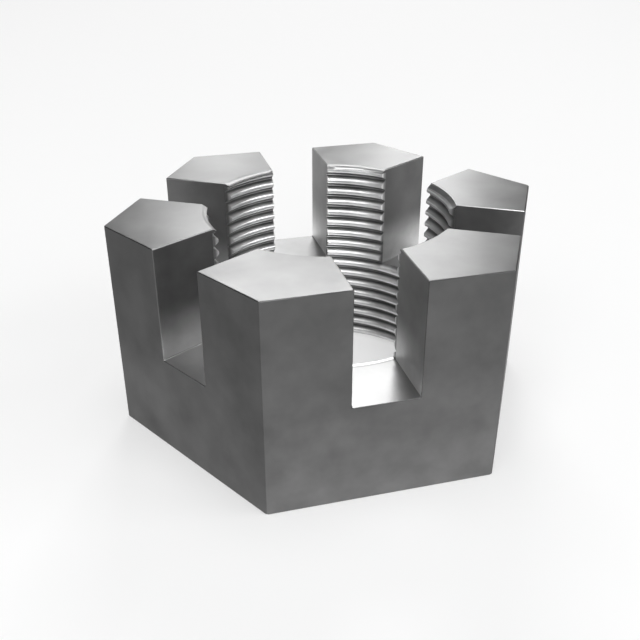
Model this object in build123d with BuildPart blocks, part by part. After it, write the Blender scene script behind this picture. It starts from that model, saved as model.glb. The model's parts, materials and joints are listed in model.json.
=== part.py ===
from build123d import *
from math import ceil, hypot, radians, tan
import os

# Castle nut: a hexagon nut whose upper half is cut by slots for a split pin.
# The origin is the centre of the bearing face, and +Z runs up the thread.
# Two of the six flats face along X, so two of the corners lie on Y.

# Hexagon body
flats = 6
across_flats = 30.0
nut_height = 17.0
edge_break = 0.12  # every outer edge is cut back this far, at 45 degrees

# Split pin slots, each cut right across from one flat to the opposite one
slot_width = 5.0
slot_depth = 9.0

# Internal thread: metric form, fine pitch, single start, right hand
thread_diameter = 20.0
thread_pitch = 1.0
thread_angle = 60.0  # between the two flanks of the groove
thread_phase = 0.83  # height of the groove's middle on the +X side, in pitches

# Countersinks, which let the bolt start in either end of the thread
countersink_angle = 120.0
countersink_lip = 0.05  # how far each one opens past the bottom of the thread

# The hole is drilled at the tap size, which leaves the crests of the thread flat.
thread_radius = thread_diameter / 2
bore_radius = (thread_diameter - thread_pitch) / 2
thread_depth = thread_radius - bore_radius
countersink_radius = thread_radius + countersink_lip
countersink_depth = (countersink_radius - bore_radius) / tan(radians(countersink_angle / 2))

# The groove is a trapezoid: a narrow floor, and flanks that open towards the axis.
# Its mouth is drawn a little inside the bore, so that the cut leaves no skin there.
groove_floor = thread_pitch / 8
groove_overcut = thread_pitch / 10
groove_mouth = groove_floor + 2 * (thread_depth + groove_overcut) * tan(radians(thread_angle / 2))

# The turns start below the bearing face and end above the top, clear of the nut.
first_turn = (thread_phase - 2) * thread_pitch
turn_count = ceil(nut_height / thread_pitch) + 3

# One turn of the groove. The next turn is the same shape, one pitch higher.
with BuildPart() as groove_turn:
    with BuildLine() as turn_path:
        Helix(thread_pitch, thread_pitch, bore_radius)
    with BuildSketch(Plane((bore_radius, 0, 0), x_dir=(1, 0, 0), z_dir=(0, -1, 0))):
        with BuildLine():
            Polyline(
                (thread_depth, -groove_floor / 2),
                (thread_depth, groove_floor / 2),
                (-groove_overcut, groove_mouth / 2),
                (-groove_overcut, -groove_mouth / 2),
                close=True,
            )
        make_face()
    sweep(path=turn_path.line, is_frenet=True)

with BuildPart() as castle_nut:
    # Blank: a hexagon bar, cut to length
    with BuildSketch():
        RegularPolygon(across_flats / 2, flats, major_radius=False, rotation=180 / flats)
    extrude(amount=nut_height)

    # Slots: each runs across a pair of flats, so there are half as many cuts as flats
    with BuildSketch(Plane.XY.offset(nut_height - slot_depth)):
        with PolarLocations(0, flats // 2, angular_range=180):
            Rectangle(2 * across_flats, slot_width)
    extrude(amount=slot_depth, mode=Mode.SUBTRACT)

    # Edge breaks: the edges round the flats, and those round the top of each prong
    flat_edges = castle_nut.edges().filter_by(
        lambda edge: hypot(edge.center().X, edge.center().Y) > across_flats / 2 - edge_break
    )
    top_edges = castle_nut.edges().group_by(Axis.Z)[-1]
    chamfer(set(flat_edges + top_edges), length=edge_break)

    # Bore, with a countersink at each end
    with BuildSketch(Plane.XZ):
        with BuildLine():
            Polyline(
                (0, 0),
                (countersink_radius, 0),
                (bore_radius, countersink_depth),
                (bore_radius, nut_height - countersink_depth),
                (countersink_radius, nut_height),
                (0, nut_height),
                close=True,
            )
        make_face()
    revolve(axis=Axis.Z, mode=Mode.SUBTRACT)

    # Thread: the turns of the groove follow on from each other
    with Locations([(0, 0, first_turn + turn * thread_pitch) for turn in range(turn_count)]):
        add(groove_turn.part, mode=Mode.SUBTRACT)

castle_nut.part.label = "castle_nut"

os.makedirs("parts", exist_ok=True)
export_step(castle_nut.part, "parts/castle_nut.step")
print(f"castle_nut: volume {castle_nut.part.volume:.1f} mm3, valid {castle_nut.part.is_valid}")
print(f"thread: bore radius {bore_radius:.3f} mm, countersinks {countersink_depth:.3f} mm deep")
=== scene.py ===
# %% [markdown]
# # Castle nut
#
# A castle nut is a hexagon nut whose top is cut by slots, like the battlements of a tower. A split
# pin goes through two opposite slots and a hole in the bolt, so that the nut can't work loose.
# This one is a single piece of bare steel: bar stock that was sawn, milled and tapped.
#
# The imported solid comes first. It holds the true size and place of everything, so the sizes below
# are read from it wherever it states them.

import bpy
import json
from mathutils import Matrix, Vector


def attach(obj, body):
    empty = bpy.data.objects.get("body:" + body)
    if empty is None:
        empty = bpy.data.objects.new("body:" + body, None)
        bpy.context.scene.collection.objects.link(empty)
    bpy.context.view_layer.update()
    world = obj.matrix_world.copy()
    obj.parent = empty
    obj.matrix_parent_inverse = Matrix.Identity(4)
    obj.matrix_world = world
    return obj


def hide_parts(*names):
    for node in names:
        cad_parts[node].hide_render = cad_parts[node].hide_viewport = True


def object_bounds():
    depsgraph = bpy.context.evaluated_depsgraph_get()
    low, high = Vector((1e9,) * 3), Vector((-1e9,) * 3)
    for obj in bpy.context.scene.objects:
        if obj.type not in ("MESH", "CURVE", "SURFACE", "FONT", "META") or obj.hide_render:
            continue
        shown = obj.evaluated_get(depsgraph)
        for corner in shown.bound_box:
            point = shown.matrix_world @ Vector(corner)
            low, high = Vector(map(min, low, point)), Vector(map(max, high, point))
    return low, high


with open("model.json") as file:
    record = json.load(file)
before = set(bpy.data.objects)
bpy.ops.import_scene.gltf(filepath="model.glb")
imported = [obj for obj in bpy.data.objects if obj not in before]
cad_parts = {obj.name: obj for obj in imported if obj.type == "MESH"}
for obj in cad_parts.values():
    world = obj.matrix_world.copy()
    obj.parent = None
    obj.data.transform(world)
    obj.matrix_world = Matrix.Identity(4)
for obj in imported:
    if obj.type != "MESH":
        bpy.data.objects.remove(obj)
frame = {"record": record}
solid_low, solid_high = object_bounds()
print("solid, mm:", [round(1000 * side, 3) for side in solid_high - solid_low])

# %% [markdown]
# ## Sizes
#
# Blender works in metres, but a thread one millimetre in pitch has edges a few hundredths of a
# millimetre long, and many mesh tools merge or skip lengths that small. So the nut is made in
# millimetres and is scaled to metres at the very end.
#
# The box gives the height and the width across the flats. The record's mounts give the height of
# the slot floors. Sizes that only one step needs are given in that step.

# %% Sizes of the nut, in millimetres
import json
from math import ceil, cos, pi, radians, sin, tan

import bmesh
import bpy
from mathutils import Matrix, Vector

MM = 0.001

mounts = {mount["name"]: mount for mount in frame["record"]["mounts"]}
nut_height = (solid_high.z - solid_low.z) / MM
across_flats = (solid_high.x - solid_low.x) / MM
flats = 6
slot_floor = mounts["pin_slot"]["pos_m"][2] / MM
edge_break = 0.12

print(f"nut {across_flats:.2f} across flats, {nut_height:.2f} high, slot floors at {slot_floor:.2f}")

# %% [markdown]
# ## Helpers for solid modelling
#
# On the bench, a nut is a blank with pieces taken away: a cutter takes the slots, a drill the hole,
# and a tap the thread. The same order works here. Each tool is a closed mesh, and a Boolean
# modifier takes it out of the blank. Moving vertices by hand could never find where a helix
# meets the wall of a slot, but a Boolean finds it exactly.

# %% Make a mesh object, and cut one with another
def make_object(name, points, faces):
    """A new object from its corner points and the faces between them."""
    mesh = bpy.data.meshes.new(name)
    mesh.from_pydata(points, [], faces)
    mesh.update()
    made = bpy.data.objects.new(name, mesh)
    bpy.context.scene.collection.objects.link(made)
    return made


def apply_modifiers(piece):
    """Turns what the modifiers show into the piece's own mesh."""
    shown = piece.evaluated_get(bpy.context.evaluated_depsgraph_get())
    mesh = bpy.data.meshes.new_from_object(shown)
    piece.modifiers.clear()
    piece.data = mesh


def cut(piece, tool):
    """Takes the tool's shape out of the piece, and throws the tool away."""
    difference = piece.modifiers.new("cut", "BOOLEAN")
    difference.operation = "DIFFERENCE"
    difference.solver = "EXACT"
    difference.object = tool
    apply_modifiers(piece)
    print(f"{tool.name}: leaves {len(piece.data.polygons)} faces")
    bpy.data.objects.remove(tool)


def prism(name, outline, along, start, end):
    """A solid with one outline in the plane across `along`, from start to end on that line."""
    side = Vector((0, 0, 1)).cross(along) if abs(along.z) < 0.5 else Vector((1, 0, 0))
    up = along.cross(side)
    points = [
        along * distance + side * across + up * height
        for distance in (start, end)
        for across, height in outline
    ]
    count = len(outline)
    faces = [tuple(reversed(range(count))), tuple(range(count, 2 * count))]
    for corner in range(count):
        following = (corner + 1) % count
        faces.append((corner, following, following + count, corner + count))
    return make_object(name, points, faces)


# %% [markdown]
# ## Blank
#
# The blank is a length of hexagon bar. Two of its flats face along X, which puts a corner on Y.
# Drawn bar has corners that are cut back a little, so each corner of the outline is two points.
# Smooth shading later turns that narrow strip into what looks like a rounded corner.

# %% Hexagon blank
def hexagon_outline():
    """The section of the bar, with its corners cut back by the edge break."""
    reach = across_flats / 2
    half_flat = reach * tan(pi / flats) - edge_break
    outline = []
    for flat in range(flats):
        turn = Matrix.Rotation(2 * pi * flat / flats, 2)
        outline += [turn @ Vector((reach, -half_flat)), turn @ Vector((reach, half_flat))]
    return outline


nut = prism("castle_nut_steel", hexagon_outline(), Vector((0, 0, 1)), 0, nut_height)
print(f"blank: {len(nut.data.polygons)} faces")

# %% [markdown]
# ## Slots
#
# An end mill as wide as the slot runs right across the nut, from one flat to the opposite one, so
# three cuts make six slots. Its corners are never perfectly sharp, so the floor of each slot meets
# the walls in a very small curve. The tool's outline is that rounded square, drawn long enough to
# clear the nut at both ends and at the top.

# %% Mill the slots
slot_width = 5.0
slot_corner = 0.1


def slot_outline(steps=4):
    """The tool's outline: open sides, and two rounded bottom corners."""
    half = slot_width / 2
    turns = [pi / 2 * step / steps for step in range(steps + 1)]
    right = [
        (half - slot_corner * (1 - sin(turn)), slot_floor + slot_corner * (1 - cos(turn)))
        for turn in turns
    ]
    left = [(-across, height) for across, height in reversed(right)]
    top = nut_height + slot_width
    return left + right + [(half, top), (-half, top)]


for turn in range(flats // 2):
    direction = Vector((cos(2 * pi * turn / flats), sin(2 * pi * turn / flats), 0))
    cut(nut, prism(f"slot_mill_{turn}", slot_outline(), direction, -across_flats, across_flats))

# %% [markdown]
# ## Edge breaks
#
# Milling leaves a burr, and a nut is tumbled or filed until no edge can cut a finger. What is left
# is a rounding about a tenth of a millimetre wide. It is too small to see as a shape, but it
# catches the light as a thin bright line, and without it metal looks like paper.
#
# Only outward edges are broken. A bevel on the inner corners would fill the slots.

# %% Round the outward edges
corner_angle = radians(40)


def is_outward(edge):
    """Whether an edge is a corner that sticks out."""
    return edge.is_manifold and edge.calc_face_angle_signed() > corner_angle


bm = bmesh.new()
bm.from_mesh(nut.data)
outward = [edge for edge in bm.edges if is_outward(edge)]
bmesh.ops.bevel(
    bm,
    geom=outward,
    offset=edge_break,
    segments=3,
    profile=0.5,
    affect="EDGES",
    clamp_overlap=True,
)
bm.to_mesh(nut.data)
print(f"edge breaks: {len(outward)} edges, {len(nut.data.polygons)} faces")
bm.free()

# %% [markdown]
# ## Thread
#
# A screw thread is one groove that climbs one pitch in each turn. The tap that cuts it is a solid
# whose surface is a ribbon: the groove's profile, wound up like a spring so that the top of one
# turn is the bottom of the next. The profile follows the usual form, with flanks 60 degrees apart,
# a narrow floor, and crests left flat by the drill. Its corners are eased, as a real tap's are:
# the rounded crests are what catches the light in a thread.
#
# The rows of the ribbon follow the helix, so every crest is a clean unbroken line.

# %% Profile of one pitch
crest_radius = mounts["thread"]["dims"]["r_mm"]
root_radius = 10.0
thread_pitch = 1.0
thread_angle = radians(60)
flank_slope = tan(thread_angle / 2)
root_flat = thread_pitch / 8
crest_easing = 0.14
root_easing = 0.06


def eased(points, easings, steps=4):
    """The polyline with each inner corner replaced by a small curve."""
    result = [points[0]]
    for before, corner, after, easing in zip(points, points[1:], points[2:], easings):
        enter = corner + (before - corner).normalized() * easing
        leave = corner + (after - corner).normalized() * easing
        for step in range(steps + 1):
            t = step / steps
            result.append(enter * (1 - t) ** 2 + corner * 2 * t * (1 - t) + leave * t**2)
    result.append(points[-1])
    return result


half_mouth = root_flat / 2 + (root_radius - crest_radius) * flank_slope
middle = thread_pitch / 2
profile = eased(
    [
        Vector((crest_radius, 0)),
        Vector((crest_radius, middle - half_mouth)),
        Vector((root_radius, middle - root_flat / 2)),
        Vector((root_radius, middle + root_flat / 2)),
        Vector((crest_radius, middle + half_mouth)),
        Vector((crest_radius, thread_pitch)),
    ],
    easings=[crest_easing, root_easing, root_easing, crest_easing],
)
print(f"thread profile: {len(profile)} points in a pitch of {thread_pitch} mm")

# %% [markdown]
# The tap is the profile carried round the helix, one step at a time. Each row of points is one
# step, and the last point of a row is the first point of the row one whole turn later, so the
# ribbon closes on itself. Two points on the axis close the ends.
#
# The phase is the height of the groove's middle on the +X side, in pitches. It is the same as in
# the solid, so the two threads coincide. The tap starts more than a turn below the nut, and its
# spare turns carry it past the top.

# %% Tap the thread
thread_phase = 0.83
steps_per_turn = 240
rows = len(profile) - 1
groove_middle = 0.5
turns_below = 2
spare_turns = 4
turns = ceil(nut_height / thread_pitch) + spare_turns
start_height = (thread_phase - groove_middle - turns_below) * thread_pitch
last_step = turns * steps_per_turn


def tap_points():
    """The points of the ribbon. Its last turn has only the points of the top edge."""
    points = []
    for step in range(last_step + steps_per_turn + 1):
        angle = 2 * pi * step / steps_per_turn
        climb = start_height + thread_pitch * step / steps_per_turn
        for radius, rise in profile[: rows if step <= last_step else 1]:
            points.append((radius * cos(angle), radius * sin(angle), climb + rise))
    return points


def tap_index(step, row):
    """The index of a point. The top row of one turn is the bottom row of the next."""
    if row == rows:
        step, row = step + steps_per_turn, 0
    if step <= last_step:
        return step * rows + row
    return (last_step + 1) * rows + step - last_step - 1


def make_tap():
    """A closed solid with the thread on its outside, longer than the nut at both ends."""
    points = tap_points()
    bottom, top = len(points), len(points) + 1
    points += [(0, 0, start_height), (0, 0, start_height + (turns + 1) * thread_pitch)]
    faces = []
    for step in range(last_step):
        for row in range(rows):
            lower = (tap_index(step, row), tap_index(step + 1, row))
            upper = (tap_index(step + 1, row + 1), tap_index(step, row + 1))
            faces.append(lower + upper)
    for step in range(steps_per_turn):
        faces.append((bottom, tap_index(step + 1, 0), tap_index(step, 0)))
        faces.append((top, tap_index(last_step + step, 0), tap_index(last_step + step + 1, 0)))
    for row in range(rows):
        faces.append((bottom, tap_index(0, row), tap_index(0, row + 1)))
        faces.append((top, tap_index(last_step, row + 1), tap_index(last_step, row)))
    return make_object("tap", points, faces)


cut(nut, make_tap())

# %% [markdown]
# ## Countersinks
#
# A tap would leave a sharp feather of metal where the thread runs out of each face. A countersink
# takes it away and guides the bolt in. It is a wide cone, 120 degrees across, that opens just past
# the bottom of the thread.

# %% Countersink both ends
countersink_lip = 0.05
countersink_angle = radians(120)
countersink_radius = root_radius + countersink_lip
countersink_slope = tan(countersink_angle / 2)
countersink_depth = (countersink_radius - crest_radius) / countersink_slope


def make_cone(name, face_height, outward_sign, segments=240, overshoot=1.0):
    """A cone whose rim lies in the nut's face. It is longer than the cut at both of its ends."""
    deep = countersink_depth + overshoot
    rings = [
        (countersink_radius + overshoot * countersink_slope, face_height + outward_sign * overshoot),
        (countersink_radius - deep * countersink_slope, face_height - outward_sign * deep),
    ]
    rings.sort(key=lambda ring: ring[1])
    points = [
        (radius * cos(2 * pi * step / segments), radius * sin(2 * pi * step / segments), height)
        for radius, height in rings
        for step in range(segments)
    ]
    faces = [tuple(reversed(range(segments))), tuple(range(segments, 2 * segments))]
    for step in range(segments):
        following = (step + 1) % segments
        faces.append((step, following, following + segments, step + segments))
    return make_object(name, points, faces)


cut(nut, make_cone("countersink_bottom", 0, -1))
cut(nut, make_cone("countersink_top", nut_height, 1))

# %% [markdown]
# ## Clean mesh
#
# Where two surfaces cross almost along the same line, a Boolean can leave two points less than a
# thousandth of a millimetre apart, with a sliver of a face between them. Nobody can see it, but a
# mesh that is printed or measured should have few such faces, so points this close are made one.

# %% Merge doubled points
merge_distance = 0.0005

bm = bmesh.new()
bm.from_mesh(nut.data)
points_before = len(bm.verts)
bmesh.ops.remove_doubles(bm, verts=bm.verts, dist=merge_distance)
print(f"merged {points_before - len(bm.verts)} of {points_before} points")
print(f"edges that don't join two faces: {sum(not edge.is_manifold for edge in bm.edges)}")
bm.to_mesh(nut.data)
bm.free()

# %% [markdown]
# ## Shading normals
#
# Large flat faces meet narrow rounded ones all over this mesh. Plain smooth shading would bend
# the light across the flats. Weighted normals let each large face keep its own direction and give
# the whole turn to the narrow ones. True corners are marked sharp first.

# %% Smooth the curved faces and keep the flat ones flat
nut.data.transform(Matrix.Scale(MM, 4))
nut.data.shade_smooth()
nut.data.set_sharp_from_angle(angle=corner_angle)
weighted = nut.modifiers.new("weighted", "WEIGHTED_NORMAL")
weighted.mode = "FACE_AREA"
weighted.keep_sharp = True
apply_modifiers(nut)

nut.data.calc_loop_triangles()
print(f"nut: {len(nut.data.polygons)} faces, {len(nut.data.loop_triangles)} triangles")
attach(nut, "root")
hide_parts("castle_nut")

# %% [markdown]
# ## Shader maths
#
# A material is a small program made of nodes. Wiring Math nodes one by one hides the formula, so
# this class wraps a socket and lets Python's own signs add the nodes: `1 - mask` makes a Subtract
# node with its link. Any other node comes from one method.

# %% A socket that can be used in a formula
class Socket:
    """An output of a shader node, with the signs for sums."""

    def __init__(self, tree, output):
        self.tree = tree
        self.output = output

    def node(self, kind, settings=None, inputs=None, output=0):
        """Adds a node, sets its values, links its inputs, and gives one of its outputs."""
        added = self.tree.nodes.new(kind)
        for name, value in (settings or {}).items():
            setattr(added, name, value)
        for name, value in (inputs or {}).items():
            if isinstance(value, Socket):
                self.tree.links.new(value.output, added.inputs[name])
            else:
                added.inputs[name].default_value = value
        return Socket(self.tree, added.outputs[output]) if len(added.outputs) else added

    def math(self, operation, first, second=0.0):
        """The result of one operation on two values, each a number or a socket."""
        return self.node("ShaderNodeMath", {"operation": operation}, {0: first, 1: second})

    def __add__(self, other):
        return self.math("ADD", self, other)

    def __sub__(self, other):
        return self.math("SUBTRACT", self, other)

    def __rsub__(self, other):
        return self.math("SUBTRACT", other, self)

    def __mul__(self, other):
        return self.math("MULTIPLY", self, other)

    def __lt__(self, other):
        return self.math("LESS_THAN", self, other)

    def __gt__(self, other):
        return self.math("GREATER_THAN", self, other)

    __radd__ = __add__
    __rmul__ = __mul__


def new_tree(owner):
    """An empty node tree for a material or a world, as a socket wrapper to start from."""
    owner.use_nodes = True
    owner.node_tree.nodes.clear()
    return Socket(owner.node_tree, None)


def choose(mask, off, on):
    """The value `on` where the mask is 1, and `off` where it is 0."""
    return off + mask * (on - off)


def how_far(vector, direction):
    """How far a vector reaches in a direction."""
    inputs = {0: vector, 1: direction}
    return vector.node("ShaderNodeVectorMath", {"operation": "DOT_PRODUCT"}, inputs, 1)


def climb(value, low, high):
    """A smooth climb from 0 to 1 while a length goes from low to high, in millimetres."""
    settings = {"interpolation_type": "SMOOTHSTEP"}
    inputs = {"Value": value, "From Min": low * MM, "From Max": high * MM}
    return value.node("ShaderNodeMapRange", settings, inputs)


# %% [markdown]
# ## Where each finish lies
#
# The nut is one steel, but its faces were made in different ways, and each way leaves its own
# finish. The flats still have the skin of the drawn bar, which is the darkest. The top, the slots
# and the countersinks were cut. The broken edges get a lighter tone, partly their own finish and
# partly a painted highlight line. The thread was tapped; its crests get one of the brightest tones
# on the nut, and its groove is painted darker, as painted shade.
#
# Painting these regions would need a UV map. There is no need for one, because the place of a
# point and the way it faces say which region it is in. The skin is as far out as the flats. The
# thread lies within the rim of the countersinks, and deeper than they go. Of the cut faces, those
# that look up are level, those that look sideways are walls, and only the broken edges lean.
#
# The two walls of a slot differ too. The walls that face one half of the compass are painted
# lighter, as painted light, and those that face the other half darker, as painted shade.

# %% Where a point is, and which way it faces
steel = bpy.data.materials.new("machined_steel")
start = new_tree(steel)
place = start.node("ShaderNodeTexCoord", output="Object")
facing = start.node("ShaderNodeTexCoord", output="Normal")
height = start.node("ShaderNodeSeparateXYZ", inputs={0: place}, output="Z")
facing_x = start.node("ShaderNodeSeparateXYZ", inputs={0: facing}, output="X")
facing_z = start.node("ShaderNodeSeparateXYZ", inputs={0: facing}, output="Z")

reach = 0.0
for turn in range(flats // 2):
    angle = 2 * pi * turn / flats
    across = start.math("ABSOLUTE", how_far(place, (cos(angle), sin(angle), 0)))
    reach = start.math("MAXIMUM", reach, across)

level = start.node("ShaderNodeVectorMath", {"operation": "MULTIPLY"}, {0: place, 1: (1, 1, 0)})
radius = start.node("ShaderNodeVectorMath", {"operation": "LENGTH"}, {0: level}, 1)
depth = start.math("MINIMUM", height, nut_height * MM - height)
print(f"a place in the steel comes from {len(steel.node_tree.nodes)} nodes")

# %% Masks for the finishes
skin_depth = 0.06
thread_margin = 0.02
level_limit = 0.85
wall_limit = 0.15
painted_lit_side = radians(150)

skin_from = across_flats / 2 - skin_depth
thread_to = root_radius + thread_margin
is_skin = reach > skin_from * MM
is_thread = (radius < thread_to * MM) * (depth > countersink_depth * MM)
is_level = facing_z > level_limit
is_edge = (facing_z > wall_limit) * (facing_z < level_limit)
# Walls that face this half of the compass are painted lighter, as painted light.
is_painted_lit_wall = how_far(facing, (cos(painted_lit_side), sin(painted_lit_side), 0)) > 0
print(f"skin from {skin_from:.2f} mm out, thread to {thread_to:.2f} mm")


def finish(skin, wall, flat, edge, thread):
    """One value for the whole nut, from the values of its five finishes."""
    cut_metal = choose(is_edge, choose(is_level, wall, flat), edge)
    return choose(is_thread, choose(is_skin, cut_metal, skin), thread)


# %% [markdown]
# ## Painted light and shade along a length
#
# Some of the tone along the nut is painted light and shade. The skin of the flats is painted
# lighter low down, below the slots, as painted light. The slot walls are painted lighter towards
# their foot, and the slot floors lighter than the top, as painted light. In the thread the groove is
# painted darker than the crests, and the lower turns darker than the upper ones, as painted shade.
# Each of these is a smooth climb along one length, so none has a hard border.

# %% Soft masks along a length
low_light_bottom, low_light_top = -6, 14
foot_light_height = 4.5
low_thread_shade_bottom, low_thread_shade_top = 3, 9
unshaded_crest_width = 0.08
root_full_shade_width = 0.1
groove_shade_from = crest_radius + unshaded_crest_width
groove_shade_full = root_radius - root_full_shade_width

# Painted light: the skin of the flats lighter low down.
painted_low_light = 1 - climb(height, low_light_bottom, low_light_top)
# Painted light: the slot walls lighter towards their foot, and the slot floors lighter than the top.
painted_foot_light = 1 - climb(height, slot_floor, slot_floor + foot_light_height)
# Painted shade: the thread darker from its crests down into its groove.
painted_groove_shade = climb(radius, groove_shade_from, groove_shade_full)
# Painted shade: the lower turns of the thread darker.
painted_low_thread_shade = 1 - climb(height, low_thread_shade_bottom, low_thread_shade_top)
# The print gives where the painted light at the slots' foot ends and where the painted shade in the
# groove starts.
print(f"fresh metal up to {slot_floor + foot_light_height:.1f} mm, oil from radius {groove_shade_from:.2f} mm")

# %% [markdown]
# ## Steel
#
# Bare steel is a metal, so all of its light is reflected light, and its base colour is the share
# that it reflects. Below, each finish gets such a share and a roughness. The flats that face -X are
# painted darker, as painted shade, and those that face +X lighter, as painted light.
#
# Satin steel is also uneven in a way that is easy to miss: handling and oil leave soft clouds a
# few millimetres across, a little lighter or darker, a little duller or shinier. Without them a
# flat looks like plastic. The same kind of cloud goes into the tone, into the roughness and, very
# slightly, into the height, which bends the reflections.

# %% Tone of the steel
# This value paints the flats on one side darker and those on the other side lighter.
painted_side_shade = 0.17
# This value paints the lower turns of the thread darker, as painted shade.
low_thread_shade_strength = 0.3
level_clouds = 0.6
upright_clouds = 0.85
cloud_roughness = 0.55


def cloud(size, detail):
    """Soft noise from about -0.5 to 0.5, with blobs of that size in millimetres."""
    settings = {"noise_dimensions": "3D"}
    inputs = {
        "Vector": place,
        "Scale": 1 / (size * MM),
        "Detail": detail,
        "Roughness": cloud_roughness,
    }
    return start.node("ShaderNodeTexNoise", settings, inputs, "Fac") - 0.5


# Painted light and shade: the flats that face +X are lighter and those that face -X darker.
side = choose(facing_x > 0, 1 - painted_side_shade, 1 + painted_side_shade)
tone = finish(
    # The skin is painted lighter low down, as painted light.
    skin=choose(painted_low_light, 0.102, 0.208) * side,
    # Slot walls: painted lighter on one side and towards the foot, as painted light.
    wall=choose(is_painted_lit_wall, choose(painted_foot_light, 0.165, 0.70), choose(painted_foot_light, 0.30, 0.95)),
    # The slot floors are painted lighter than the top, as painted light.
    flat=choose(painted_foot_light, 0.30, 0.38),
    # The lighter edge tone is partly a painted highlight line along the edges.
    edge=0.42,
    # The thread is painted darker in its groove and on its lower turns, as painted shade.
    thread=choose(painted_groove_shade, 0.95, 0.28) * (1 - painted_low_thread_shade * low_thread_shade_strength),
)
tone = tone * (1 + cloud(size=3.2, detail=3.0) * choose(is_level, upright_clouds, level_clouds))
print(f"tone: {len(steel.node_tree.nodes)} nodes so far")

# %% [markdown]
# Roughness says how far a reflection is blurred. The bump takes the thread out, because its own
# narrow rings already bend the light, and clouds on top of them would only look like dirt.
#
# Clean metal turns into a mirror at a glancing angle. A dull skin with a trace of oil on it does so
# much less. Specular Tint is the share that is reflected there, and grey holds it back.

# %% Roughness, height and the finished steel
roughness_clouds = 0.12
cloud_height = 0.004
glancing_share = 0.65

roughness = finish(skin=0.37, wall=0.50, flat=0.34, edge=0.30, thread=0.32)
roughness = roughness + cloud(size=1.6, detail=2.0) * roughness_clouds
ripple = cloud(size=2.2, detail=1.0) * (1 - is_thread)
lift = {"Strength": 1.0, "Distance": cloud_height * MM, "Height": ripple}
bump = start.node("ShaderNodeBump", inputs=lift)
metal = start.node(
    "ShaderNodeBsdfPrincipled",
    inputs={
        "Base Color": tone,
        "Metallic": 1.0,
        "Roughness": roughness,
        "Specular Tint": (glancing_share, glancing_share, glancing_share, 1.0),
        "Normal": bump,
    },
)
start.node("ShaderNodeOutputMaterial", inputs={"Surface": metal})
nut.data.materials.clear()
nut.data.materials.append(steel)
print(f"steel: {len(steel.node_tree.nodes)} nodes")

# %% [markdown]
# ## Floor
#
# The nut stands on white card. Its colour is the reflectance of real white card, not pure white,
# so it takes the shadow and throws light back at the nut as card does. To the camera, and in the
# metal's reflections, a share of it is plain white, as when a photographer lights the background
# by itself. Light Path tells those rays from the rest.
#
# The lamps stand 0.6 m away, and past them the card would fall into the dark. In a studio it
# sweeps up there into a lit wall, called a cove. Here the card turns, between two distances from
# the nut, into a plain glow as bright as the horizon of the room.

# %% White card
card_radius = 2.0
card_white = 0.92
white_share = 0.4
cove_start, cove_end = 250, 600
cove_brightness = 0.85

bm = bmesh.new()
bmesh.ops.create_circle(bm, cap_ends=True, segments=64, radius=card_radius)
floor_mesh = bpy.data.meshes.new("floor")
bm.to_mesh(floor_mesh)
bm.free()
floor = bpy.data.objects.new("floor", floor_mesh)
bpy.context.scene.collection.objects.link(floor)

card = bpy.data.materials.new("white_card")
start = new_tree(card)
spot = start.node("ShaderNodeTexCoord", output="Object")
distance = start.node("ShaderNodeVectorMath", {"operation": "LENGTH"}, {0: spot}, 1)
matt = start.node("ShaderNodeBsdfDiffuse", inputs={"Color": (card_white, card_white, card_white, 1)})
white = start.node("ShaderNodeEmission", inputs={"Color": (1, 1, 1, 1), "Strength": 1.0})
camera_ray = start.node("ShaderNodeLightPath", output="Is Camera Ray")
glossy_ray = start.node("ShaderNodeLightPath", output="Is Glossy Ray")
glass_ray = start.node("ShaderNodeLightPath", output="Is Transmission Ray")
seen = camera_ray + glossy_ray + glass_ray
pale = start.node("ShaderNodeMixShader", inputs={0: seen * white_share, 1: matt, 2: white})
cove = start.node("ShaderNodeEmission", inputs={"Color": (1, 1, 1, 1), "Strength": cove_brightness})
rise = climb(distance, cove_start, cove_end)
sweep = start.node("ShaderNodeMixShader", inputs={0: rise, 1: pale, 2: cove})
start.node("ShaderNodeOutputMaterial", inputs={"Surface": sweep})
floor.data.materials.append(card)
print(f"floor: {len(floor_mesh.polygons)} face, card out to {cove_start} mm, cove from {cove_end} mm")

# %% [markdown]
# ## Light
#
# Metal shows its surroundings, so lighting it means placing things for it to reflect. A dim even
# room keeps the shadows open. Near the horizon the room is as pale as the cove, so the two meet
# without a line, and it darkens smoothly above that.

# %% Room
room_brightness = 0.1
pale_below, dim_above = 0.06, 0.26

world = bpy.data.worlds.new("studio")
bpy.context.scene.world = world
start = new_tree(world)
direction = start.node("ShaderNodeTexCoord", output="Generated")
upward = start.node("ShaderNodeSeparateXYZ", inputs={0: direction}, output="Z")
brightness = start.node(
    "ShaderNodeMapRange",
    {"interpolation_type": "SMOOTHSTEP"},
    {
        "Value": upward,
        "From Min": pale_below,
        "From Max": dim_above,
        "To Min": cove_brightness,
        "To Max": room_brightness,
    },
)
glow = start.node("ShaderNodeBackground", inputs={"Color": brightness, "Strength": 1.0})
start.node("ShaderNodeOutputWorld", inputs={"Surface": glow})
print(f"room: {room_brightness} overhead, {cove_brightness} at the horizon")

# %% [markdown]
# The lamps are softboxes, placed by the direction that they shine from, and each has its own job.
# A face mirrors one part of the room, so a lamp put in that part lights that face and few others.
# The tops and the slot floors look up and mirror what stands behind the nut, so three softboxes
# there make them bright, a little more on the right than on the left. The thread mirrors what is
# above and beside the camera, which takes the front, left front and right ones. The top one finds
# the countersink and the edges of the near right flat. The long low one on the left only draws
# the thin bright line along the near left edges. The flats mirror the floor, so they stay dark
# however strong the lamps are.
#
# Angles are in degrees and sizes in metres. A lamp's power is its brightness times its area and
# pi, so a lamp with a brightness of 1 looks just as bright as the white of the picture.

# %% Softboxes
lamp_distance = 0.6


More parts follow.
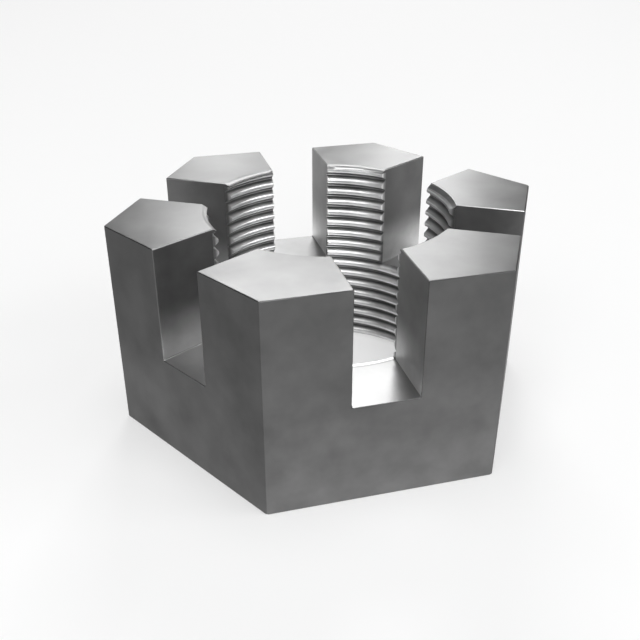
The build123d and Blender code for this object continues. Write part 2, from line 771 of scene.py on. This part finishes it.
def softbox(name, azimuth, elevation, width, height, brightness):
    """A soft rectangular lamp that faces the nut, placed by its direction from the nut."""
    lamp = bpy.data.lights.new(name, "AREA")
    lamp.shape = "RECTANGLE"
    lamp.size, lamp.size_y = width, height
    lamp.energy = brightness * pi * width * height
    placed = bpy.data.objects.new(name, lamp)
    bpy.context.scene.collection.objects.link(placed)
    a, e = radians(azimuth), radians(elevation)
    outward = Vector((cos(a) * cos(e), sin(a) * cos(e), sin(e)))
    placed.location = outward * lamp_distance + Vector((0, 0, nut_height / 2 * MM))
    placed.rotation_mode = "QUATERNION"
    placed.rotation_quaternion = outward.to_track_quat("Z", "Y")
    placed.visible_camera = False


softbox("back_left_softbox", 113, 21, 0.08, 0.10, 5.2)
softbox("back_right_softbox", 97, 18, 0.08, 0.10, 7.9)
softbox("back_high_softbox", 105, 38, 0.19, 0.12, 8.5)
softbox("right_softbox", 8, 32, 0.25, 0.3, 3.1)
softbox("right_front_softbox", 340, 32, 0.2, 0.3, 2.1)
softbox("front_softbox", 287, 34, 0.15, 0.3, 9.7)
softbox("left_front_softbox", 255, 42, 0.2, 0.3, 2.6)
softbox("top_softbox", 0, 89.9, 0.35, 0.35, 3.6)
softbox("left_low_softbox", 195, 13, 0.35, 0.08, 3.5)
lamps = [piece.name for piece in bpy.context.scene.objects if piece.type == "LIGHT"]
print(f"{len(lamps)} softboxes")

# %% [markdown]
# ## Camera
#
# The camera's place was found by matching the nut's edges and corners in the photograph. The
# camera stands about 70 mm from the nut, which is close, and that is why the near prong looks so
# much larger than the far ones.

# %% Camera
camera = bpy.data.objects.new("camera", bpy.data.cameras.new("camera"))
bpy.context.scene.collection.objects.link(camera)
bpy.context.scene.camera = camera
camera.data.sensor_width = 36.0
camera.data.lens = 47.0
camera_place = Vector((15.345, -60.1425, 40.3719)) * MM
aim = Vector((0.2023, -3.4846, 8.5)) * MM
camera.location = camera_place
camera.rotation_mode = "QUATERNION"
camera.rotation_quaternion = (aim - camera.location).to_track_quat("-Z", "Y")
camera.data.clip_start = 1 * MM
camera.data.clip_end = 10.0
bpy.context.scene.view_settings.view_transform = "Standard"
print(f"camera: {(camera.location - aim).length / MM:.1f} mm from its aim")
